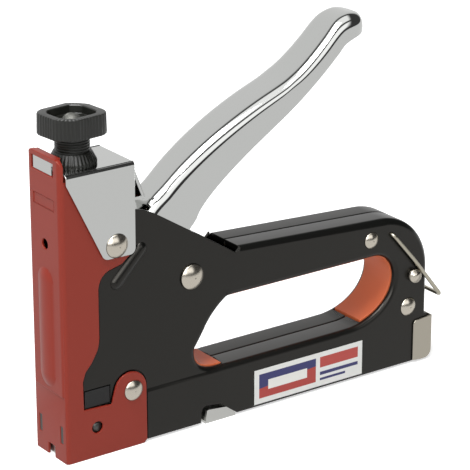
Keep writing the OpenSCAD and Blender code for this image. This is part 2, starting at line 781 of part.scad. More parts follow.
module hammer() {
    lug_hw = 5;
    lug_rear = lift_rest[0] + 2.2;
    lug_front = pivot_x - lift_arm - lift_pin_r - 0.6;
    color("#77777a") about_origin() difference() {
        union() {
            mid_block(blade_x1 + slip, 19.5, 6, hammer_foot, hammer_top);
            mid_block(19.5 - eps, lug_rear, lug_hw,
                lift_rest[1] - lug_slot - lug_wall, lift_rest[1] + lug_slot + lug_wall);
            translate([axis_x, 0, hammer_top - eps])
                cylinder(r = spring_od / 2 - spring_wire - 0.3, h = 3, $fn = fine);
        }
        mid_block(lug_front, lug_rear + 1, lug_hw + 1, lift_rest[1] - lug_slot, lift_rest[1] + lug_slot);
        for (z = driver_rivet_heights) driver_rivet_bore(z);
    }
}
driver_rivet_heights = [hammer_foot + 6, hammer_foot + hammer_height - 6];
module driver_rivet_bore(z) {
    translate([blade_x0 - 1, 0, z]) rotate([0, 90, 0]) cylinder(r = 1.5 + slip, h = 9, $fn = fine);
}

module driver_blade() {
    color("#b8b8b4") about_origin() difference() {
        mid_block(blade_x0, blade_x1, blade_width / 2, 0.6, hammer_top);
        for (z = driver_rivet_heights) driver_rivet_bore(z);
    }
}

module driver_rivets() {
    color("#9a9a96") about_origin() for (z = driver_rivet_heights)
        translate([blade_x0 + 0.05, 0, z]) rotate([0, 90, 0]) cylinder(r = 1.5, h = 7.8, $fn = fine);
}

// ---------- lever ----------

// One cross-section of the lever between its back point t and its edge point b
function lever_ring(t, b, hw, r, over) = let (
        d = (b - t) / norm(b - t),
        e = b + d * over,
        p = t + d * r,
        q = t + d * r * 0.3)
    [[t[0], hw - r, t[1]], [q[0], hw - 0.3 * r, q[1]], [p[0], hw, p[1]], [e[0], hw, e[1]],
     [e[0], -hw, e[1]], [p[0], -hw, p[1]], [q[0], 0.3 * r - hw, q[1]], [t[0], r - hw, t[1]]];

// The lever's half width swells above the body and falls off round its tip
belly_start = lever_back[3][0];
belly_end = lever_back[16][0];
function belly(x) = lever_belly * sin(180 * max(0, min(1, (x - belly_start) / (belly_end - belly_start))));
function lever_hw_at(i, hw) = let (left = len(lever_back) - 1 - i)
    left > 3 ? hw + belly(lever_back[i][0]) : hw * [0.24, 0.5, 0.78, 0.95][left];

module lever_form(hw, shift, over, last) {
    loft([for (i = [0:last]) let (w = lever_hw_at(i, hw), d = lever_edge[i] - lever_back[i])
        lever_ring(lever_back[i] + shift * d / norm(d), lever_edge[i], w, min(lever_bend, w * 0.7), over)]);
}

// Cheek that carries the pivot and reaches forward to the lifting pin
module lever_cheek_outline() {
    hub_r = 9.5;
    pin_hub_r = 4.5;
    hull() {
        translate(pivot) circle(r = hub_r, $fn = 48);
        translate(lift_rest) circle(r = pin_hub_r, $fn = 32);
    }
    hull() {
        translate(pivot) circle(r = hub_r, $fn = 48);
        polygon([lever_edge[2], lever_edge[1], lever_back[1] + [2, 0], lever_edge[2] + [-0.4, 4]]);
    }
}

module lever() {
    color("#c9c9c6") about_origin() difference() {
        union() {
            difference() {
                lever_form(lever_hw, 0, 0, len(lever_back) - 1);
                lever_form(lever_in_hw, lever_wall, 9.3, len(lever_back) - 2);
            }
            both_sides() translate([0, 0.2 - lever_in_hw, 0]) rotate([90, 0, 0])
                linear_extrude(lever_wall + 0.1) lever_cheek_outline();
        }
        cross_bar(pivot, bush_r + slip, -20, 20);
        cross_bar(lift_rest, lift_pin_r + slip, -20, 20);
        // Nothing of the lever crosses between the cheeks below its back
        mid_block(pivot[0] - 36.5, pivot[0] + 9.5, lever_in_hw, pivot[1] - 21.3, pivot[1] + 10.7);
    }
}

module lift_pin() {
    color("#8d8d89") about_origin() cross_bar(lift_rest, lift_pin_r, -lever_hw, lever_hw);
}

module pivot_bush() {
    color("#b08d57") about_origin() difference() {
        cross_bar(pivot, bush_r, -body_in_hw + slip, body_in_hw - slip);
        cross_bar(pivot, pivot_shank_r + slip, -20, 20);
    }
}

// ---------- rivets ----------

nickel = "#c8c0b2";
module lever_pivot_rivet() {
    color(nickel) about_origin() through_rivet(pivot, pivot_head_r, pivot_shank_r, body_hw, 2.2);
}
module bracket_rivet() {
    color(nickel) about_origin() through_rivet(bracket_rivet_at, bracket_head_r, shank_r, bracket_hw, 2.2);
}
module nose_rivet() {
    color(nickel) about_origin() through_rivet(nose_rivet_at, nose_head_r, shank_r, cover_hw, 1.6);
}
module grip_rivet() {
    color(nickel) about_origin() through_rivet(grip_rivet_at, grip_head_r, shank_r, body_hw, 1.6);
}
module rear_rivet() {
    color(nickel) about_origin() through_rivet(rear_rivet_at, rear_head_r, shank_r, body_hw, 1.8);
}

// Tubes that hold the two halves apart round the through rivets
module rivet_spacers() {
    color("#8d8d89") about_origin() difference() {
        union() {
            for (p = [grip_rivet_at, rear_rivet_at])
                cross_bar(p, spacer_r, -body_in_hw + slip, body_in_hw - slip);
            cross_bar(nose_rivet_at, spacer_r, -nose_in_hw + slip, nose_in_hw - slip);
            cross_bar(bracket_rivet_at, spacer_r, -nose_in_hw + slip, nose_in_hw - slip);
        }
        for (p = [grip_rivet_at, rear_rivet_at, nose_rivet_at, bracket_rivet_at])
            cross_bar(p, shank_r + slip, -20, 20);
    }
}

// Studs that the bail rests on, one on each side
module bail_stops() {
    color(nickel) about_origin() {
        both_sides() {
            cross_bar(bail_stop_at, bail_stop_r, body_hw, body_hw + bail_stop_height - 0.6);
            cross_bar(bail_stop_at, bail_stop_r - 0.5, body_hw, body_hw + bail_stop_height);
        }
        cross_bar(bail_stop_at, shank_r, -body_hw - eps, body_hw + eps);
    }
}

// ---------- wire bail ----------

// Unit vector from p to q
function unit(v) = v / norm(v);

// Rounds the inner corners of a path in 3-D to about the radius r
function rounded(path, r, n) = [for (i = [0:len(path) - 1]) each
    (i == 0 || i == len(path) - 1) ? [path[i]] : let (
        u = unit(path[i - 1] - path[i]), v = unit(path[i + 1] - path[i]),
        reach = min(r * tan(acos(-u * v) / 2) , 2.5), a = path[i] + u * reach, b = path[i] + v * reach)
        [for (k = [0:n]) let (t = k / n) (1 - t) * (1 - t) * a + 2 * t * (1 - t) * path[i] + t * t * b]];

// Direction of a path at point i
function heading(path, i) =
    i == 0 ? unit(path[1] - path[0])
    : i == len(path) - 1 ? unit(path[i] - path[i - 1])
    : unit(unit(path[i] - path[i - 1]) + unit(path[i + 1] - path[i]));

// Side vectors carried along a path without twist
function carried(path, i, last) = i == len(path) ? [] :
    let (d = heading(path, i), side = unit(last - (last * d) * d))
    concat([side], carried(path, i + 1, side));

// A round wire along a path
module wire(path, r, sides, first_side) {
    side = carried(path, 0, first_side);
    loft([for (i = [0:len(path) - 1]) let (d = heading(path, i), u = side[i], v = cross(d, u))
        [for (k = [0:sides - 1]) let (a = -360 * k / sides) path[i] + r * (cos(a) * u + sin(a) * v)]]);
}

module wire_bail() {
    inner = body_in_hw - 0.8;
    y = bail_hw;
    corners = [[bail_at[0], -inner, bail_at[1]], [bail_at[0], -y, bail_at[1]],
        [bail_kink[0], -y, bail_kink[1]], [bail_tip[0], -y, bail_tip[1]],
        [bail_tip[0], y, bail_tip[1]], [bail_kink[0], y, bail_kink[1]],
        [bail_at[0], y, bail_at[1]], [bail_at[0], inner, bail_at[1]]];
    color("#a9a596") about_origin()
        wire(rounded(corners, 1.6, 4), bail_r, 12, [1, 0, 0]);
}

// ---------- magazine ----------

// Fixed channel that the staples hang in, open below
module staple_channel() {
    roof = 1.1;
    color("#b9b9b6") about_origin() {
        difference() {
            union() {
                mid_block(guide_x1 + 0.3, channel_end, channel_hw, 0, channel_top);
                mid_block(40, channel_end, body_in_hw - slip, channel_top - roof, channel_top);
                mid_block(guide_x1 + 0.3, 36, nose_in_hw - slip, channel_top - roof, channel_top);
            }
            mid_block(-1, channel_end + 1, channel_in_hw, -1, channel_top - roof);
        }
        both_sides() channel_foot();
    }
}

// Side foot that shows in the base cut-out
module channel_foot() {
    outline = [[62.3, 0], [76.2, 0], [76.2, 1.1], [74.4, 3], [72, 4.6], [64, 5.4], [63.1, 5.2]];
    slab(outline, -body_hw + 0.3, -body_hw + 1.4);
    block([62.3, -body_hw + 0.3, 0], [76.2, -channel_hw + eps, 1.1]);
}

// Inner rail that carries the staples; it pulls out with the end cap
module staple_rail() {
    color("#aaaaa6") about_origin() difference() {
        mid_block(guide_x1 + 0.3, gun_length - cap_wall - slip, rail_hw, rail_z, rail_top);
        mid_block(0, gun_length, rail_hw - rail_wall, -1, rail_top - rail_wall);
    }
}

module end_cap() {
    corner = 3.4;
    outline = concat(
        [[cap_x0, cap_z + 0.4], [cap_x0 + 3.9, cap_z]],
        arc([gun_length - corner, cap_z + corner], corner, corner, -80, 0, 6),
        [[gun_length, cap_z + cap_height], [cap_x0 + 2.1, cap_z + cap_height - 0.6]],
        arc([cap_x0 + 2, cap_z + cap_height - 2.6], 2, 2, 90, 180, 5));
    color("#c9c2b4") about_origin() difference() {
        slab(outline, -cap_hw, cap_hw);
        mid_block(cap_x0 - 1, gun_length - cap_wall, cap_in_hw, -1, 40);
        translate([gun_length - 3, 0, rod_z]) rotate([0, 90, 0]) cylinder(r = rod_r + slip, h = 6, $fn = fine);
    }
}

// Rod inside the pusher spring
module spring_rod() {
    color("#9a9a96") about_origin() translate([40, 0, rod_z]) rotate([0, 90, 0])
        cylinder(r = rod_r, h = gun_length - 40, $fn = fine);
}

// Saddle that rides on the rail, with a lug inside it for the spring
module pusher() {
    hw = channel_in_hw - 0.2;
    color("#88888a") about_origin() {
        difference() {
            mid_block(pusher_x, pusher_x + pusher_length, hw, 0.35, pusher_top);
            mid_block(0, 60, hw - pusher_wall, 1, rail_top + 0.15);
        }
        difference() {
            block([pusher_x + 3, -3.4, 1 - eps], [pusher_x + 7, 3.4, 11.5]);
            translate([pusher_x, 0, rod_z]) rotate([0, 90, 0])
                cylinder(r = rod_r + part_gap, h = 20, $fn = fine);
        }
    }
}

module pusher_spring() {
    x0 = pusher_x + 7 + slip;
    x1 = gun_length - cap_wall - slip;
    color("#8a8a86") about_origin() translate([x0, 0, rod_z]) rotate([0, 90, 0])
        coil(2.6, 0.45, 0, x1 - x0, 24, 8, 5);
}

body_shell_left();
body_shell_right();
nose_cover();
top_bracket();
grip_liner();
lever();
lift_pin();
lever_pivot_rivet();
pivot_bush();
hammer();
driver_blade();
driver_rivets();
bumper();
nose_block();
nose_guide_plate();
nose_studs();
bracket_rivet();
nose_rivet();
grip_rivet();
rear_rivet();
rivet_spacers();
bail_stops();
main_spring();
spring_seat();
adjusting_screw();
power_knob();
lock_collar();
threaded_bush();
wire_bail();
staple_channel();
staple_rail();
end_cap();
spring_rod();
pusher();
pusher_spring();
label_plate();
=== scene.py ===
# %% [markdown]
# # A hand staple gun
# This file dresses a finished CAD model of a staple gun. The solids come in as they
# are, get real finishes, and the pieces whose bends and edges the eye would miss are
# modelled again over them. Blender works in metres and a maker's drawing gives
# millimetres, so lengths are written in millimetres and multiplied by one value.

import json
import math

import bmesh
import bpy
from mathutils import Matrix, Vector


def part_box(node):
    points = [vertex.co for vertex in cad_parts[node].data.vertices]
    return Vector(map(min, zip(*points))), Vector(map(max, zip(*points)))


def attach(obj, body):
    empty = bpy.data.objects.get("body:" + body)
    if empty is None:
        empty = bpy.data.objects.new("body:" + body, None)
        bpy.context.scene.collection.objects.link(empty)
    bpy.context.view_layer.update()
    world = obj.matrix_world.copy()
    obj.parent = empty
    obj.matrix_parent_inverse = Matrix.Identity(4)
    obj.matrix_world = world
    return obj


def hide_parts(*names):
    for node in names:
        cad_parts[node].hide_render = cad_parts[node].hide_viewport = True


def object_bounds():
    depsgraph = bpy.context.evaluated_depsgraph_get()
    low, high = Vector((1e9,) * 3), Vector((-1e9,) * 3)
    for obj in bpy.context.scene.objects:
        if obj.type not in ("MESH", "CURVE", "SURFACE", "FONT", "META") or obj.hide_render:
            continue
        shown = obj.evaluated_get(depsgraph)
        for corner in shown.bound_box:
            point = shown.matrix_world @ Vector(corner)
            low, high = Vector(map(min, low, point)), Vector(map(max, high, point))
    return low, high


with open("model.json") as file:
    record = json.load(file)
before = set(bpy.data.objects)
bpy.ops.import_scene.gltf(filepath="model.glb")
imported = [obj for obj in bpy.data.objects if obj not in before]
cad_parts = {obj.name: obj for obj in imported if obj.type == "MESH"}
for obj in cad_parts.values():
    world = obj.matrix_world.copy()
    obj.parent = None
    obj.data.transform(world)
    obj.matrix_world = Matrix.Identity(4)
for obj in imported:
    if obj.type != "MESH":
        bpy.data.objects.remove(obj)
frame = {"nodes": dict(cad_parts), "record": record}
cad_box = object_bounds()
MM = 0.001

# %% [markdown]
# ## Measures
# A maker measures this gun from the nose face, the middle plane and the base, so the
# pieces below are placed with those three numbers in millimetres. One function turns
# them into the model's metres. The nose face is found from the model's box, whose
# front is the crown of the rib pressed into the cover.


# %% From the nose face to the model's frame
rib_stands_out = 1.4 * MM
nose_face = cad_box[0].x + rib_stands_out


def at(x, y, z):
    """A point given in millimetres from the nose face, the middle plane and the base."""
    return Vector((nose_face + x * MM, y * MM, z * MM))


print("nose face at", round(nose_face, 5))

# %% [markdown]
# ## One way to add a shader node
# A material is a small network. One function adds any node, sets its fields and wires
# its inputs, so that each material below reads as a short list of what it does.
# Colours are written as the hex values a designer would use, and one function turns
# them into the linear values that shaders work in.


# %% Colours, nodes and materials
def linear(hex_colour):
    """A hex sRGB colour as linear red, green, blue and alpha."""
    parts = [int(hex_colour[i : i + 2], 16) / 255 for i in (1, 3, 5)]
    return tuple(
        p / 12.92 if p <= 0.04045 else ((p + 0.055) / 1.055) ** 2.4 for p in parts
    ) + (1.0,)


def add_node(tree, kind, links=None, inputs=None, **fields):
    """Adds one node. inputs sets sockets to values, links wires them to outputs."""
    node = tree.nodes.new(kind)
    for name, value in fields.items():
        setattr(node, name, value)
    for name, value in (inputs or {}).items():
        node.inputs[name].default_value = value
    for name, source in (links or {}).items():
        tree.links.new(source, node.inputs[name])
    return node


def start_material(name):
    """An empty material with its output, ready for a shader."""
    material = bpy.data.materials.new(name)
    material.use_nodes = True
    tree = material.node_tree
    tree.nodes.clear()
    return material, tree, tree.nodes.new("ShaderNodeOutputMaterial")


def show_surface(tree, output, shader):
    """Wires a finished shader to the output."""
    tree.links.new(shader.outputs[0], output.inputs["Surface"])


print("white is", linear("#FFFFFF"))

# %% [markdown]
# ## Finishes
# Each finish starts from what the real surface is: its colour, how sharp its shine is,
# and a relief too fine to model. The relief could be painted, but noise laid over the
# piece itself keeps its real size on every piece, so a bump reads it from there.


# %% Relief and finish
def relief(tree, size, detail, strength, depth):
    """A bumped normal: size from crest to crest and depth, both in metres."""
    place = add_node(tree, "ShaderNodeTexCoord")
    noise = add_node(tree, "ShaderNodeTexNoise",
                     links={"Vector": place.outputs["Object"]},
                     inputs={"Scale": 1 / size, "Detail": detail})
    bump = add_node(tree, "ShaderNodeBump",
                    links={"Height": noise.outputs["Fac"]},
                    inputs={"Strength": strength, "Distance": depth})
    return bump.outputs["Normal"]


def finish(name, inputs, fine_relief=None):
    """A material of one shader, with relief where its four numbers are given."""
    material, tree, output = start_material(name)
    links = {"Normal": relief(tree, *fine_relief)} if fine_relief else {}
    shader = add_node(tree, "ShaderNodeBsdfPrincipled", links=links, inputs=inputs)
    show_surface(tree, output, shader)
    return material


# %% [markdown]
# ## Stove enamel
# The body and the cover are sheet steel, painted and baked. The film is glossy, with
# a faint ripple like the skin of an orange that softens the edges of what it mirrors.
# Its resin is a little yellow, which warms the shine.


# %% Two enamels
paint_ior = 1.42  # alkyd resin, a little below glass
orange_peel = (1.2 * MM, 1.0, 0.2, 0.02 * MM)


def enamel(name, colour, resin, roughness):
    """Gloss paint: a coloured film in a faintly yellow resin."""
    return finish(name, {"Base Color": linear(colour), "Roughness": roughness,
                         "IOR": paint_ior, "Specular Tint": linear(resin)}, orange_peel)


black_enamel = enamel("black_stove_enamel", "#0C0D0C", "#FFF9F0", 0.28)
red_enamel = enamel("red_stove_enamel", "#86291E", "#FFF1DF", 0.34)
print("paints:", black_enamel.name, red_enamel.name)

# %% [markdown]
# ## Metals
# A metal has no colour of its own below the shine: what is seen is the room, tinted.
# So its roughness says most about it. Polished plate mirrors the room, parts tumbled
# in a drum spread it, and oiled, blackened or phosphated parts hardly mirror at all.


# %% Plated and bare metals
# Sheet steel is not quite flat: slow waves, 12 mm apart, bend what the plate mirrors
sheet_waves = (12.0 * MM, 0.0, 0.25, 0.05 * MM)


def metal(name, colour, roughness, fine_relief=None):
    """A plated or bare metal surface."""
    return finish(name, {"Base Color": linear(colour), "Metallic": 1.0,
                         "Roughness": roughness}, fine_relief)


# A mirror, with the sheet's waves in it
chrome = metal("bright_chrome_plate", "#C4C5C3", 0.07, sheet_waves)
# Warm, with a broad shine from the tumbling drum
nickel = metal("tumbled_nickel_plate", "#C9C2B5", 0.25)
# Brushed before it is plated, so it is dimmer and hazier
satin_nickel = metal("satin_nickel_plate", "#B0AA9D", 0.3)
# Thin and pale on rolled sheet, with a hazy shine
zinc = metal("bright_zinc_plate", "#C6C6C2", 0.32)
# Turned or ground and left bare inside the gun
steel = metal("machined_steel", "#B9B9B5", 0.3)
# Oiled while hot, dark grey with a soft shine
dark_steel = metal("blackened_steel", "#5A5A58", 0.4)
# A dull grey coat of crystals that holds oil
phosphated = metal("phosphated_screw_steel", "#6E6E6A", 0.62)
# Pulled through a die, so it is bright and a little yellow
spring_wire = metal("drawn_spring_wire", "#B4AF9F", 0.28)
# Turned, and yellow
brass = metal("machined_brass", "#C9A66B", 0.3)
print("metals:", chrome.name, nickel.name, zinc.name)

# %% [markdown]
# ## Plastics and rubber
# The knob and the collar are moulded nylon and the liner is a softer moulding. Their
# moulds are spark eroded, which leaves a grain 0.4 mm across that dulls the shine.


# %% Moulded plastics and rubber
def moulded(name, colour, roughness, grain=0.0):
    """A moulded part. grain is how strongly the mould's spark-eroded grain shows."""
    spark_grain = (0.4 * MM, 2.0, grain, 0.03 * MM)
    return finish(name, {"Base Color": linear(colour), "Roughness": roughness},
                  spark_grain if grain else None)


# Nylon: black with a half-dull skin
black_plastic = moulded("moulded_black_nylon", "#161713", 0.34, 0.4)
# A soft elastomer: dull, and coloured all through
orange_liner = moulded("orange_soft_liner", "#C8643A", 0.5, 0.3)
# Acetal and rubber sit deep inside, where they are seen as plain dull black
acetal = moulded("moulded_black_acetal", "#101010", 0.6)
rubber = moulded("black_bumper_rubber", "#1B1B1B", 0.7)
print("mouldings:", black_plastic.name, orange_liner.name)

# %% [markdown]
# ## Dress the solids
# Each solid gets the finish of the real piece. The names on the left are the pieces'
# names in the model.

# %% Finish of each solid
finish_of = {
    "body_shell_left": black_enamel, "body_shell_right": black_enamel,
    "nose_cover": red_enamel, "top_bracket": chrome, "grip_liner": orange_liner,
    "lever": chrome, "lift_pin": steel, "lever_pivot_rivet": nickel,
    "pivot_bush": brass, "hammer": dark_steel, "driver_blade": steel,
    "driver_rivets": steel, "bumper": rubber, "nose_block": acetal,
    "nose_guide_plate": dark_steel, "nose_studs": dark_steel, "bracket_rivet": nickel,
    "nose_rivet": nickel, "grip_rivet": nickel, "rear_rivet": nickel,
    "rivet_spacers": steel, "bail_stops": nickel, "main_spring": spring_wire,
    "spring_seat": steel, "adjusting_screw": phosphated, "power_knob": black_plastic,
    "lock_collar": black_plastic, "threaded_bush": brass, "wire_bail": spring_wire,
    "staple_channel": zinc, "staple_rail": zinc, "end_cap": satin_nickel,
    "spring_rod": steel, "pusher": zinc, "pusher_spring": spring_wire,
    "label_plate": zinc,
}
for name, material in finish_of.items():
    solid = frame["nodes"][name]
    solid.data.materials.clear()
    solid.data.materials.append(material)
print("dressed", len(finish_of), "solids")

# %% [markdown]
# ## Placing a modelled piece
# Every piece modelled below takes over from one or more solids. One function finishes
# its mesh, shades it smooth with crisp edges where two faces meet sharply, lets it
# ride on the body that the solid belongs to, and hides that solid.


# %% Finish, place and attach
def place_piece(name, bm, material, body, stands_for, crease):
    """Makes an object of a bmesh. Edges that turn by more than crease degrees stay crisp."""
    bmesh.ops.recalc_face_normals(bm, faces=bm.faces)
    mesh = bpy.data.meshes.new(name)
    bm.to_mesh(mesh)
    bm.free()
    mesh.materials.append(material)
    mesh.shade_smooth()
    mesh.set_sharp_from_angle(angle=math.radians(crease))
    piece = bpy.data.objects.new(name, mesh)
    bpy.context.scene.collection.objects.link(piece)
    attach(piece, body)
    if stands_for:
        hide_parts(*stands_for)
    print(name, len(mesh.polygons), "faces")
    return piece


def flat_shading(piece):
    """Keeps large faces flat while the rounded edges between them shade smoothly."""
    steady = piece.modifiers.new("steady_normals", "WEIGHTED_NORMAL")
    steady.keep_sharp = True


# %% [markdown]
# ## Softened edges
# Pressed steel has no knife edges: the punch leaves each cut edge slightly rolled, and
# each bend has a radius of one or two sheet thicknesses. The eye reads those from the
# thin bright lines along them. A bevel on a merged copy of the solid gives them, and
# three widths are enough: a wide one for bends, a middle one for pressed corners and
# a narrow one for cut edges.


# %% A merged copy of a solid, and its rounded edges
same_corner = 0.002 * MM
same_plane = math.radians(0.6)


def welded_copy(node):
    """The solid's loose triangles as one closed skin."""
    bm = bmesh.new()
    bm.from_mesh(frame["nodes"][node].data)
    bmesh.ops.remove_doubles(bm, verts=bm.verts, dist=same_corner)
    return bm


def merged_copy(node):
    """The solid's mesh as whole flat faces, ready to be bevelled."""
    bm = welded_copy(node)
    bmesh.ops.dissolve_limit(
        bm, angle_limit=same_plane, use_dissolve_boundaries=False,
        verts=bm.verts, edges=bm.edges, delimit=set(),
    )
    return bm


def edge_turn(edge):
    """Angle in degrees between the two faces that meet at an edge."""
    return math.degrees(edge.calc_face_angle(0.0)) if len(edge.link_faces) == 2 else 0.0


def round_edges(bm, radius, segments, wanted):
    """Bevels the edges that wanted() picks, radius in millimetres, and counts them."""
    picked = [edge for edge in bm.edges if wanted(edge)]
    bmesh.ops.bevel(
        bm, geom=picked, offset=radius * MM, offset_type="OFFSET", segments=segments,
        profile=0.5, affect="EDGES", clamp_overlap=False, material=-1,
    )
    return len(picked)


# %% [markdown]
# ## Body halves
# Each half is one pressing. Along the grip, round its rear and round the finger loop
# the sheet turns through a right angle, and the two halves meet in a fine line along
# the middle. The wide bevel stands for the bend round the finger loop, the middle one
# rounds the chamfer along the grip, and the narrow one makes the seam's two lips.
#
# The side is also pressed in a little, behind the nose and above the magazine. Two
# cuts across the side and two along it give the step its edges, and the part in front
# of and above them moves inwards.


# %% Press the side in
side_face = 10.6 * MM
shoulder = 2.2 * MM  # depth over which the edges follow the side inwards
hair = 0.02 * MM
press_depth, press_behind, press_over = 0.4 * MM, (72.4, 74.1), (20.0, 21.3)


def cut_all(bm, point, normal, **options):
    """Cuts the whole mesh along a plane."""
    bmesh.ops.bisect_plane(bm, geom=bm.verts[:] + bm.edges[:] + bm.faces[:],
                           plane_co=point, plane_no=normal, **options)


def press_in_front(bm):
    """Steps the side inwards between two cuts behind the nose and two over the rail."""
    for cut_x in press_behind:
        cut_all(bm, at(cut_x, 0, 0), (1, 0, 0))
    for cut_z in press_over:
        cut_all(bm, at(0, 0, cut_z), (0, 0, 1))
    front, over = at(press_behind[0], 0, 0).x, at(0, 0, press_over[1]).z
    for vert in bm.verts:
        share = (abs(vert.co.y) - side_face + shoulder) / shoulder
        if share > 0 and vert.co.x < front + hair and vert.co.z > over - hair:
            vert.co.y -= math.copysign(press_depth * min(share, 1.0), vert.co.y)


def crease_steps(half):
    """Marks the lengthwise edges of the pressed step as folds."""
    outside, behind = side_face - 0.5 * MM, at(press_behind[1], 0, 0).x
    for edge in half.data.edges:
        ends = [half.data.vertices[i].co for i in edge.vertices]
        for z in press_over:
            if all(abs(co.z - at(0, 0, z).z) < hair and abs(co.y) > outside
                   and co.x < behind for co in ends):
                edge.use_edge_sharp = True


print("side pressed in by", press_depth / MM, "mm")


# %% Where each bend is
loop_x, loop_z = (57, 154.5), (21.9, 49.8)
grip_above, rear_behind, seam_above = 50, 140, 20
right_angle, chamfer = 60, 35  # least turn of such an edge, in degrees


def both_ends(edge, test):
    return all(test(vert.co) for vert in edge.verts)


def on_loop(co):
    """On the outside face, where the finger loop's outline runs."""
    x, z = (co.x - nose_face) / MM, co.z / MM
    return (abs(abs(co.y) - side_face) < hair and loop_x[0] < x < loop_x[1]
            and loop_z[0] < z < loop_z[1])


def on_grip(co):
    """High enough for the grip's top, or far enough back for its rear."""
    return co.z > at(0, 0, grip_above).z or co.x > at(rear_behind, 0, 0).x


def on_seam(co):
    """In the middle plane, where the two halves meet."""
    return abs(co.y) < 0.05 * MM and co.z > at(0, 0, seam_above).z


print("finger loop:", loop_x[1] - loop_x[0], "by", round(loop_z[1] - loop_z[0], 1), "mm")


# %% Press the two halves
def body_half(node):
    """One half of the body, with its bends, lips and pressed side."""
    bm = merged_copy(node)
    loop = round_edges(bm, 2.1, 5, lambda e: edge_turn(e) > right_angle
                       and both_ends(e, on_loop))
    bends = round_edges(bm, 0.8, 3, lambda e: chamfer < edge_turn(e) < right_angle
                        and e.calc_length() > 0.4 * MM and both_ends(e, on_grip))
    seam = round_edges(bm, 0.6, 1, lambda e: edge_turn(e) > right_angle
                       and both_ends(e, on_seam))
    cut = round_edges(bm, 0.2, 2, lambda e: edge_turn(e) > right_angle)
    print(node, "rounded", loop, bends, seam, cut)
    press_in_front(bm)
    half = place_piece(node + "_pressing", bm, black_enamel, "frame",
                       [node], crease=50)
    crease_steps(half)
    flat_shading(half)


body_half("body_shell_left")
body_half("body_shell_right")

# %% [markdown]
# ## Lever
# The lever is one strip of steel folded into a channel: a back that the palm squeezes,
# two cheeks that straddle the body's pivot, and a tip drawn round like the bowl of a
# spoon. It could be a box with bevels, but its depth, slope and width all change along
# the way. So one cross-section is extruded from station to station, each time taking
# the shape of the fold at that place, and the wall's thickness is given at the end.


# %% Curves for the lever's side view
def pulled_curve(start, pull, end, steps):
    """Points on a quadratic curve between two points, drawn towards a third."""
    points = []
    for i in range(steps + 1):
        t = i / steps
        points.append((Vector(start) * (1 - t) ** 2 + Vector(pull) * 2 * t * (1 - t)
                       + Vector(end) * t * t))
    return points


def eased(points, steps=4):
    """A smooth line through points, with so many short steps between each two."""
    line = []
    last = len(points) - 1
    for i in range(last):
        a, b = points[i], points[i + 1]
        before = points[max(i - 1, 0)]
        after = points[min(i + 2, last)]
        for step in range(steps):
            t = step / steps
            line.append(0.5 * (2 * a + (b - before) * t
                               + (2 * before - 5 * a + 4 * b - after) * t * t
                               + (3 * a - before - 3 * b + after) * t ** 3))
    return line + [points[last]]


def plain_points(*pairs):
    """Points given as pairs of numbers."""
    return [Vector(pair) for pair in pairs]


# Side view from the nose face and the base: the back, and the free edge opposite
lever_back = eased(
    plain_points((34.5, 84.7), (37.6, 88.6), (42, 93.4))
    + pulled_curve((47, 97.2), (65.5, 114.3), (99.5, 127), 6)
    + pulled_curve((104.3, 129.4), (112, 133.2), (124, 145.3), 5)
    + plain_points((127.5, 147.6), (131.5, 148.7), (135, 148.6), (138, 147.7),
                   (140, 146.2), (141, 144.4)))
lever_edge = eased(
    plain_points((43.5, 70), (46.5, 72.5), (53, 76.5))
    + pulled_curve((58.8, 82), (63, 93), (92.9, 111.2), 6)
    + pulled_curve((98, 114.3), (112, 123.2), (124.8, 135), 5)
    + plain_points((127.6, 137.7), (131, 139.4), (134.2, 140.2), (137.2, 140.6),
                   (139.4, 141), (140.6, 141.6)))
print("lever stations:", len(lever_back))


# %% Skinning by extrusion
def skin(bm, sections, closed=False):
    """Extrudes the first section from station to station. Returns its first and last edges."""
    row = [bm.verts.new(point) for point in sections[0]]
    pairs = list(zip(row, row[1:])) + ([(row[-1], row[0])] if closed else [])
    first = edges = [bm.edges.new(pair) for pair in pairs]
    for section in sections[1:]:
        made = bmesh.ops.extrude_edge_only(bm, edges=edges)["geom"]
        fresh = {v for v in made if isinstance(v, bmesh.types.BMVert)}
        row = [next(e.other_vert(v) for e in v.link_edges if e.other_vert(v) in fresh)
               for v in row]
        for vert, point in zip(row, section):
            vert.co = point
        edges = [e for e in made if isinstance(e, bmesh.types.BMEdge)
                 and all(v in fresh for v in e.verts)]
    return first, edges


# %% Shape of the fold at one place
lever_half_width, lever_fold, lever_wall = 9.1, 5.2, 1.5
# The lever is widest half-way along this span, by so much on each side
belly_span, lever_belly = (47, 127.5), 1.0
# The tip closes like a half circle, down to a narrow end
tip_centre, tip_round, tip_narrowest = 131.6, 9.5, 0.16
cheek_steps, fold_steps, back_steps = 3, 12, 3


def lever_section(top, edge):
    """One cross-section, from the near free edge over the back to the far one."""
    beyond = max(0.0, min(1.0, (top.x - tip_centre) / tip_round))
    along = max(0.0, min(1.0, (top.x - belly_span[0]) / (belly_span[1] - belly_span[0])))
    wide = lever_half_width + lever_belly * math.sin(math.pi * along)
    half = wide * max(math.sqrt(1 - beyond * beyond), tip_narrowest)
    down = (edge - top).normalized()
    # The fold's radius shrinks where the section is too small for it
    fold = min(lever_fold, half * 0.98, (edge - top).length * 0.8)
    corner = top + down * fold
    cheek = [edge.lerp(corner, k / cheek_steps) for k in range(cheek_steps + 1)]
    near = [(p.x, -half, p.y) for p in cheek]
    for k in range(1, fold_steps + 1):
        angle = math.radians(90 * k / fold_steps)
        p = top + down * fold * (1 - math.sin(angle))
        near.append((p.x, -half + fold * (1 - math.cos(angle)), p.y))
    flat = half - fold
    near += [(top.x, flat * (k / back_steps - 1), top.y) for k in range(1, back_steps + 1)]
    return near + [(x, -y, z) for x, y, z in reversed(near[:-1])]


print("widest across:", 2 * (lever_half_width + lever_belly), "mm")


# %% Fold the channel
lever_skin = bmesh.new()
skin(lever_skin, [[at(*p) for p in lever_section(top, edge)]
                  for top, edge in zip(lever_back, lever_edge)])
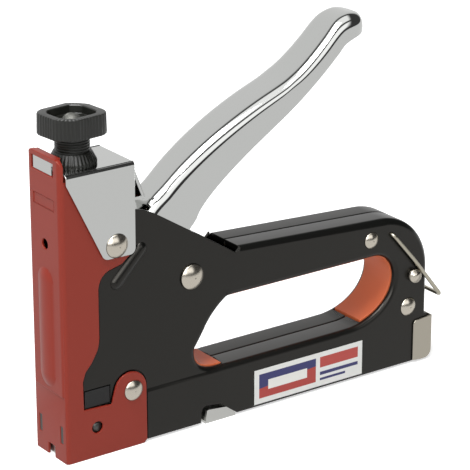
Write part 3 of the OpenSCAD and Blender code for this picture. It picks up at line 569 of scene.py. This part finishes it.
# Outward is away from the channel's inside: upwards on the back of the lever
bmesh.ops.recalc_face_normals(lever_skin, faces=lever_skin.faces)
back_face = max(lever_skin.faces, key=lambda f: f.calc_center_median().z)
if back_face.normal.z < 0:
    bmesh.ops.reverse_faces(lever_skin, faces=lever_skin.faces)
bmesh.ops.solidify(lever_skin, geom=lever_skin.faces[:], thickness=lever_wall * MM)
place_piece("lever_channel", lever_skin, chrome, "lever_body",
            ["lever"], crease=50)

# %% [markdown]
# ## Lever cheeks
# Inside the body the cheeks widen into two flat plates with a round boss at the pivot
# and a smaller one for the lifting pin. They are plain plate, so an outline with its
# two holes is filled and given a thickness.


# %% Cut the two cheek plates
pivot_at, pivot_boss, pivot_hole = (56.5, 61.3), 9.5, 4.68
pin_at, pin_boss, pin_hole = (34.25, 52.31), 4.5, 2.52
cheek_outside, cheek_wall = 9.05, 1.4


def round_points(centre, radius, start, stop, steps):
    """Points along an arc in the side view, its angles in degrees."""
    angles = [math.radians(start + (stop - start) * k / steps) for k in range(steps + 1)]
    return [(centre[0] + radius * math.cos(a), centre[1] + radius * math.sin(a))
            for a in angles]


def loop_of(bm, points, y):
    """A closed loop of edges through points of the side view."""
    verts = [bm.verts.new(at(x, y, z)) for x, z in points]
    return [bm.edges.new(pair) for pair in zip(verts, verts[1:] + verts[:1])]


def cheek_plates():
    """Both plates, each filled inside its outline and thickened inwards."""
    bm = bmesh.new()
    outline = (round_points(pin_at, pin_boss, 125, 280, 12)
               + round_points(pivot_at, pivot_boss, 280, 380, 12)
               + [(59, 74), (58.6, 78), (39.9, 88.6), (42.5, 66)])
    for side in (-1, 1):
        y = side * cheek_outside
        edges = (loop_of(bm, outline, y)
                 + loop_of(bm, round_points(pivot_at, pivot_hole, 0, 345, 23), y)
                 + loop_of(bm, round_points(pin_at, pin_hole, 0, 340, 17), y))
        plate = bmesh.ops.triangle_fill(bm, use_beauty=True, use_dissolve=True, edges=edges)
        faces = [g for g in plate["geom"] if isinstance(g, bmesh.types.BMFace)]
        solid = bmesh.ops.extrude_face_region(bm, geom=faces)["geom"]
        bmesh.ops.translate(bm, vec=(0, -side * cheek_wall * MM, 0),
                            verts=[g for g in solid if isinstance(g, bmesh.types.BMVert)])
    return bm


place_piece("lever_cheeks", cheek_plates(), chrome, "lever_body", [], 40)

# %% [markdown]
# ## Slanting ribs
# Beside the bracket each body half has a short rib pressed outwards, round in section
# and at both ends. Its crown shines as one smooth skin, so it is drawn as rings from
# end to end of a capsule, and the part inside the wall is cut away.


# %% One capsule on each side
rib_ends, rib_radius, rib_axis = ((23.4, 66.2), (34.2, 77.2)), 2.83 * MM, 8.87 * MM
rib_foot = side_face - 0.7 * MM
cap_rings, cap_tilt, ring_points = 8, 10, 40  # tilt in degrees from ring to ring


def slanting_rib(side):
    """The part of a capsule that stands out of one side's wall."""
    bm = bmesh.new()
    low, high = [at(x, 0, z) + Vector((0, side * rib_axis, 0)) for x, z in rib_ends]
    along = (high - low).normalized()
    out, up = Vector((0, side, 0)), Vector((-along.z, 0, along.x))
    rings = []
    steps = ([(low, k) for k in range(-cap_rings, 1)]
             + [(high, k) for k in range(cap_rings + 1)])
    for end, step in steps:
        tilt = math.radians(cap_tilt * step)
        centre = end + along * rib_radius * math.sin(tilt)
        wide = rib_radius * math.cos(tilt)
        rings.append([centre + wide * (math.cos(a) * out + math.sin(a) * up)
                      for a in (math.tau * k / ring_points for k in range(ring_points))])
    for cap in skin(bm, rings, closed=True):
        bmesh.ops.contextual_create(bm, geom=cap)
    cut_all(bm, out * rib_foot, out, clear_inner=True)
    bmesh.ops.holes_fill(bm, edges=bm.edges)
    return bm


for side, shell in ((-1, "left"), (1, "right")):
    place_piece(f"slanting_rib_{shell}", slanting_rib(side), black_enamel, "frame",
                [], 60)

# %% [markdown]
# ## Power knob
# The knob is a black moulding, a square in plan with round corners, two of them drawn
# in a little. It has fine upright ribs all round, a matching recess and a threaded
# neck. A cylinder with ribs joined on would need many cuts, so the ribs are a wave
# added to the outline. The outline is extruded upwards, with a little flare at its
# foot, and turned in over the rim into the recess.


# %% Outline and rings of the knob
knob_centre, knob_turn = 12.45, 6
knob_ribs, steps_per_rib = 48, 6
drawn_in_at = 44  # degrees round the knob to the drawn-in corners
# Half length, half width, corner radius, reach at the drawn-in corners
outer = (10.8, 10.0, 5.4, 11.0)
inner = (7.5, 6.8, 3.4, 8.0)


def outline_reach(angle, half_length, half_width, corner, short_reach):
    """Distance from the knob's middle to its outline at an angle in degrees."""
    along, across = abs(math.cos(math.radians(angle))), abs(math.sin(math.radians(angle)))
    straight_x, straight_y = half_length - corner, half_width - corner
    if along * half_width < across * straight_x:
        reach = half_width / across
    elif across * half_length < along * straight_y:
        reach = half_length / along
    else:
        middle = along * straight_x + across * straight_y
        far = straight_x * straight_x + straight_y * straight_y
        reach = middle + math.sqrt(middle * middle - far + corner * corner)
    # Two opposite corners end on a wider curve, nearer to the middle
    bow, offset = 1.3 * short_reach, 0.3 * short_reach
    aside = math.radians(angle - drawn_in_at)
    curve = math.sqrt(bow * bow - (offset * math.sin(aside)) ** 2)
    return min(reach, curve - offset * abs(math.cos(aside)))


def turned_ring(reaches, z, turn=0.0):
    """A level ring round the knob's axis, from its reaches at even steps."""
    ring = []
    for k, reach in enumerate(reaches):
        angle = math.tau * k / len(reaches) + math.radians(turn)
        ring.append(at(knob_centre + reach * math.cos(angle), reach * math.sin(angle), z))
    return ring


def wave(angle, count, depth):
    """Depth of so many flutes at an angle in degrees: none at a crest."""
    return depth * (0.5 - 0.5 * math.cos(math.radians(angle * count)))


def knob_ring(z, outline, inwards=0.0, rib=0.0):
    """The outline at a height, drawn inwards by a margin and by the ribs' wave."""
    steps = knob_ribs * steps_per_rib
    angles = [360 * k / steps for k in range(steps)]
    return turned_ring([outline_reach(a, *outline) - inwards - wave(a, knob_ribs, rib)
                        for a in angles], z, knob_turn)


print("points in a ring of the knob:", knob_ribs * steps_per_rib)


# %% Knob and threaded neck
def knob_head():
    """The ribbed head, from its foot over the rim and down into the recess."""
    bm = bmesh.new()
    rings = [knob_ring(122.7, outer, 0.3, 0.1), knob_ring(123.0, outer, 0.0, 0.28),
             knob_ring(130.1, outer, 0.15, 0.28), knob_ring(130.45, outer, 0.25, 0.15),
             knob_ring(130.6, outer, 0.55), knob_ring(130.6, inner, -0.35),
             knob_ring(130.3, inner), knob_ring(127.8, inner, 0.25),
             knob_ring(127.6, inner, 0.5)]
    for end in skin(bm, rings, closed=True):
        bmesh.ops.contextual_create(bm, geom=end)
    return bm


def lathed(bm, profile, centre_x):
    """Turns a profile of (radius, height) points once round an upright axis."""
    verts = [bm.verts.new(at(centre_x + r, 0, z)) for r, z in profile]
    edges = [bm.edges.new(pair) for pair in zip(verts, verts[1:])]
    bmesh.ops.spin(bm, geom=verts + edges, cent=at(centre_x, 0, 0), axis=(0, 0, 1),
                   angle=math.tau, steps=64, use_merge=True, use_duplicate=False)
    bmesh.ops.remove_doubles(bm, verts=bm.verts, dist=0.5 * same_corner)


# The neck's thread is fine and shallow: about eight crests show above the collar
bore, root, crest = 2.6, 6.15, 6.39
neck_foot, neck_top, first_turn, thread_step = 101.05, 122.9, 101.4, 1.04
neck = [(bore, neck_foot), (root, neck_foot)]
for turn in range(20):
    z = first_turn + thread_step * turn
    neck += [(root, z), (crest, z + 0.35), (crest, z + 0.65), (root, z + 0.95)]
neck += [(root, neck_top), (bore, neck_top), (bore, neck_foot)]

head = knob_head()
lathed(head, neck, knob_centre)
place_piece("knob_and_neck", head, black_plastic, "knob", ["power_knob"], 32)

# %% [markdown]
# ## Lock collar
# A ring with a knurled edge and a rounded top, screwed down on the bracket. Its
# outline is a circle with a wave in it, treated in the same way as the knob's.


# %% Knurl the collar
collar_flutes, steps_per_flute = 36, 6


def collar_ring(z, radius, flute=0.0):
    """A circle at a height, drawn inwards by the knurl's wave."""
    steps = collar_flutes * steps_per_flute
    return turned_ring([radius - wave(360 * k / steps, collar_flutes, flute)
                        for k in range(steps)], z)


def knurled_collar():
    """The ring, from its bore under the foot, over the outside and back to the bore."""
    bm = bmesh.new()
    rings = [collar_ring(111.6, 6.5), collar_ring(111.6, 8.6), collar_ring(111.8, 8.8, 0.25),
             collar_ring(112.9, 8.8, 0.3), collar_ring(113.6, 8.4, 0.25),
             collar_ring(115.6, 7.4, 0.15), collar_ring(116.3, 7.0, 0.05),
             collar_ring(116.5, 6.8), collar_ring(116.5, 6.5)]
    first, last = skin(bm, rings, closed=True)
    bmesh.ops.bridge_loops(bm, edges=first + last)
    return bm


place_piece("knurled_lock_collar", knurled_collar(), black_plastic, "collar",
            ["lock_collar"], 32)

# %% [markdown]
# ## Sheet parts with softened edges
# The red cover, the chromed bracket, the end cap and the liner keep the shape of their
# solids. What they lack is the small radius that punching, folding or moulding leaves
# along each edge, so each is a merged copy with a narrow bevel.


# %% Which body a solid has
body_of = {node: body for body, nodes in frame["record"]["behaviour"]["bodies"].items()
           for node in nodes}


def stand_in(node, bm, suffix, crease):
    """Places a copy of a solid with its own body and finish."""
    return place_piece(f"{node}_{suffix}", bm, finish_of[node], body_of[node],
                       [node], crease=crease)


def softened(node, radius):
    """A merged copy of a solid with narrow bevels, standing in for the solid."""
    bm = merged_copy(node)
    count = round_edges(bm, radius, 2, lambda e: edge_turn(e) > 50)
    print(node, "edges rounded:", count)
    flat_shading(stand_in(node, bm, "softened", 40))


# %% The cover, the bracket, the end cap and the liner
softened("nose_cover", 0.3)
softened("top_bracket", 0.22)
softened("end_cap", 0.25)
softened("grip_liner", 0.3)

# %% [markdown]
# ## Turned and coiled parts
# Rivet heads, studs, springs and the wire bail are round, and their solids are round
# enough. They only need their small facets merged and shaded as one smooth skin.

# %% Smooth copies
for node in ("lever_pivot_rivet", "bracket_rivet", "nose_rivet", "grip_rivet",
             "rear_rivet", "bail_stops", "nose_studs", "adjusting_screw"):
    stand_in(node, welded_copy(node), "smooth", 35)
for node in ("wire_bail", "main_spring", "pusher_spring"):
    stand_in(node, welded_copy(node), "smooth", 70)

# %% [markdown]
# ## Printed plate
# The thin plate on the magazine is screen printed: white, with a red field and a blue
# field split by a slanted line, and two short bars. The print is a colour by place on
# the plate, in millimetres from its lower front corner, and it spells nothing.


# %% Masks by place on the plate
def side_of(tree, operation, value, limit):
    """1 where the value is on the named side of the limit, and 0 elsewhere."""
    return add_node(tree, "ShaderNodeMath", operation=operation,
                    links={0: value}, inputs={1: limit}).outputs[0]


def overlap(tree, first, second):
    """1 where both masks are."""
    return add_node(tree, "ShaderNodeMath", operation="MULTIPLY",
                    links={0: first, 1: second}).outputs[0]


def field(tree, x, z, x0, x1, z0, z1):
    """A rectangle between two lengths and two heights."""
    across = overlap(tree, side_of(tree, "GREATER_THAN", x, x0),
                     side_of(tree, "LESS_THAN", x, x1))
    upright = overlap(tree, side_of(tree, "GREATER_THAN", z, z0),
                      side_of(tree, "LESS_THAN", z, z1))
    return overlap(tree, across, upright)


# %% Print the plate
def printed_plate():
    """White enamel with its inks laid on in turn."""
    material, tree, output = start_material("screen_printed_plate")
    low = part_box("label_plate")[0]
    place = add_node(tree, "ShaderNodeTexCoord")
    local = add_node(tree, "ShaderNodeVectorMath", operation="SUBTRACT",
                     links={0: place.outputs["Object"]}, inputs={1: low})
    scaled = add_node(tree, "ShaderNodeVectorMath", operation="SCALE",
                      links={0: local.outputs["Vector"]}, inputs={"Scale": 1 / MM})
    axes = add_node(tree, "ShaderNodeSeparateXYZ", links={0: scaled.outputs["Vector"]})
    x, z = axes.outputs["X"], axes.outputs["Z"]
    # Left-hand field: blue above a slanted line, red below it
    tilt = add_node(tree, "ShaderNodeMath", operation="MULTIPLY_ADD",
                    links={0: x, 2: z}, inputs={1: -0.1}).outputs[0]
    left = field(tree, x, z, 2.2, 29.5, 2.2, 12.2)
    inks = (
        (left, "#A83A33"),
        (overlap(tree, left, side_of(tree, "GREATER_THAN", tilt, 6.0)), "#2E2F66"),
        (field(tree, x, z, 6.5, 25.2, 5.2, 9.2), "#DFDFDA"),
        (field(tree, x, z, 31.5, 50.2, 7.8, 12.2), "#B0433B"),
        (field(tree, x, z, 31.5, 50.2, 4.6, 6.0), "#2E2F66"),
        (field(tree, x, z, 31.5, 44.0, 2.4, 3.4), "#2E2F66"),
    )
    # The colour mix node counts its sockets through every data type: 6 and 7 are colours
    under, over, mixed = 6, 7, 2
    colour = None
    for mask, ink in inks:
        mix = add_node(tree, "ShaderNodeMix", data_type="RGBA", links={0: mask},
                       inputs={under: linear("#DCDDDA"), over: linear(ink)})
        if colour:
            tree.links.new(colour, mix.inputs[under])
        colour = mix.outputs[mixed]
    show_surface(tree, output, add_node(
        tree, "ShaderNodeBsdfPrincipled", links={"Base Color": colour},
        inputs={"Roughness": 0.45},
    ))
    return material


finish_of["label_plate"] = printed_plate()
softened("label_plate", 0.06)

# %% [markdown]
# ## Floor and light
# The gun stands on a pale floor in a soft studio. Polished metal shows nothing but the
# room around it, so the room matters as much as the lamps. Here the mirrored room is
# a set of level bands, like strips of white card with dark gaps between: dark behind
# the camera, white above it, white over the top, and pale on the far side. A narrow
# dark gap between two bands is what draws a dark line along a fold of the chrome. The
# right of the room is left empty, so that faces turned that way stay black. Everything
# that is lit, rather than mirrored, sees one even glow.


# %% Floor
floor_glow, floor_mirrored = 0.55, 0.9


def seen_directly(tree, rays):
    """1 for a ray from the camera, or one that has come through a clear piece."""
    return add_node(
        tree, "ShaderNodeMath", operation="MAXIMUM",
        links={0: rays.outputs["Is Camera Ray"], 1: rays.outputs["Is Transmission Ray"]},
    ).outputs[0]


def either(tree, choice, without, with_it):
    """One shader where the choice is 0 and another where it is 1."""
    return add_node(tree, "ShaderNodeMixShader",
                    links={0: choice, 1: without.outputs[0], 2: with_it.outputs[0]})


def paper_floor():
    """Paper that keeps shadows, with a glow of its own where it is seen."""
    material, tree, output = start_material("pale_paper_floor")
    paper = add_node(tree, "ShaderNodeBsdfDiffuse", inputs={"Color": (0.86, 0.86, 0.86, 1)})
    glow = add_node(tree, "ShaderNodeEmission", inputs={"Strength": floor_glow})
    bright = add_node(tree, "ShaderNodeAddShader",
                      links={0: paper.outputs[0], 1: glow.outputs[0]})
    rays = add_node(tree, "ShaderNodeLightPath")
    mirrored = add_node(tree, "ShaderNodeEmission", inputs={"Strength": floor_mirrored})
    shown = either(tree, seen_directly(tree, rays), paper, bright)
    show_surface(tree, output, either(tree, rays.outputs["Is Glossy Ray"], shown, mirrored))
    return material


bm = bmesh.new()
bmesh.ops.create_grid(bm, x_segments=1, y_segments=1, size=6.0)
floor_mesh = bpy.data.meshes.new("floor")
bm.to_mesh(floor_mesh)
bm.free()
floor_mesh.materials.append(paper_floor())
floor = bpy.data.objects.new("floor", floor_mesh)
bpy.context.scene.collection.objects.link(floor)
print("floor:", floor.name)

# %% The mirrored room
# Its brightness by the angle from the camera's side of the floor, up over the top and
# down to the far side, each as a share of the half turn and a brightness
room_bands = ((0.0, 0.05), (0.08, 0.05), (0.11, 1.6), (0.26, 1.6), (0.275, 0.08),
              (0.33, 0.08), (0.345, 1.4), (0.58, 1.4), (0.605, 0.08), (0.645, 0.08),
              (0.70, 0.9), (1.0, 0.9))
brightest, empty_room = 1.6, 0.06
white = (1, 1, 1, 1)


def fade(tree, value, low, high):
    """0 below low and 1 above high, with a soft passage between."""
    return add_node(
        tree, "ShaderNodeMapRange", interpolation_type="SMOOTHSTEP",
        links={"Value": value}, inputs={"From Min": low, "From Max": high},
    ).outputs["Result"]


def banded_brightness(tree, up, front):
    """The level bands, by the angle round the camera's left-to-right axis."""
    turn = add_node(tree, "ShaderNodeMath", operation="ARCTAN2", links={0: up, 1: front})
    share = add_node(tree, "ShaderNodeMapRange", links={"Value": turn.outputs[0]},
                     inputs={"From Max": math.pi})
    bands = add_node(tree, "ShaderNodeValToRGB", links={"Fac": share.outputs["Result"]})
    stops = bands.color_ramp.elements
    for index, (place, value) in enumerate(room_bands):
        # A new ramp has two stops already
        stop = stops[index] if index < 2 else stops.new(place)
        stop.position = place
        stop.color = (value / brightest,) * 3 + (1,)
    return add_node(tree, "ShaderNodeMath", operation="MULTIPLY",
                    links={0: bands.outputs["Color"]}, inputs={1: brightest}).outputs[0]


def mirrored_room(tree):
    """The bands, with nothing on the right as far back as the gun's own plane."""
    toward = add_node(tree, "ShaderNodeTexCoord")
    axes = add_node(tree, "ShaderNodeSeparateXYZ", links={0: toward.outputs["Generated"]})
    front = add_node(tree, "ShaderNodeMath", operation="MULTIPLY",
                     links={0: axes.outputs["Y"]}, inputs={1: -1.0}).outputs[0]
    right = fade(tree, axes.outputs["X"], 0.3, 0.5)
    near_side = fade(tree, front, -0.55, -0.3)
    room = add_node(
        tree, "ShaderNodeMapRange", inputs={"To Max": empty_room},
        links={"Value": overlap(tree, right, near_side),
               "To Min": banded_brightness(tree, axes.outputs["Z"], front)},
    )
    return add_node(tree, "ShaderNodeBackground", links={"Strength": room.outputs[0]},
                    inputs={"Color": white})


print("bands in the room:", len(room_bands) // 2)


# %% World and lamps
def soft_world(glow_strength):
    """White where it is seen, banded where it is mirrored, and an even glow elsewhere."""
    world = bpy.data.worlds.new("soft_studio")
    bpy.context.scene.world = world
    world.use_nodes = True
    tree = world.node_tree
    tree.nodes.clear()
    rays = add_node(tree, "ShaderNodeLightPath")
    glow, shown = [add_node(tree, "ShaderNodeBackground",
                            inputs={"Color": white, "Strength": strength})
                   for strength in (glow_strength, 1.0)]
    plain = either(tree, seen_directly(tree, rays), glow, shown)
    show_surface(tree, add_node(tree, "ShaderNodeOutputWorld"),
                 either(tree, rays.outputs["Is Glossy Ray"], plain, mirrored_room(tree)))


def put_in_scene(name, data, place, target):
    """Places a lamp or a camera and turns it towards a point."""
    thing = bpy.data.objects.new(name, data)
    bpy.context.scene.collection.objects.link(thing)
    thing.location = place
    thing.rotation_mode = "QUATERNION"
    thing.rotation_quaternion = (Vector(target) - Vector(place)).to_track_quat("-Z", "Y")
    return thing


def soft_lamp(name, place, target, size, power):
    """A square softbox. Size in metres and power in watts."""
    data = bpy.data.lights.new(name, "AREA")
    data.shape = "SQUARE"
    data.size = size
    data.energy = power
    put_in_scene(name, data, place, target)


soft_world(0.36)
soft_lamp("overhead_softbox", (-0.35, -0.15, 1.1), (0, 0, 0.05), 0.6, 12)
soft_lamp("front_left_softbox", (-0.9, -0.9, 0.8), (0, 0, 0.07), 0.8, 7)
print("lamps:", sorted(lamp.name for lamp in bpy.data.lights))

# %% [markdown]
# ## Camera
# A long lens from far away keeps parallel edges almost parallel. It stands ahead of the
# nose and to the left, a little above the gun, and looks at its middle.

# %% Camera
lens = bpy.data.cameras.new("camera")
lens.sensor_width, lens.lens = 36.0, 187.66
lens.clip_start, lens.clip_end = 0.05, 20
camera = put_in_scene("camera", lens, (nose_face - 0.4198, -0.7053, 0.3918),
                      (nose_face + 0.0834, 0, 0.06876))
bpy.context.scene.camera = camera
bpy.context.scene.view_settings.view_transform = "Standard"
print("camera at", [round(v, 4) for v in camera.location])
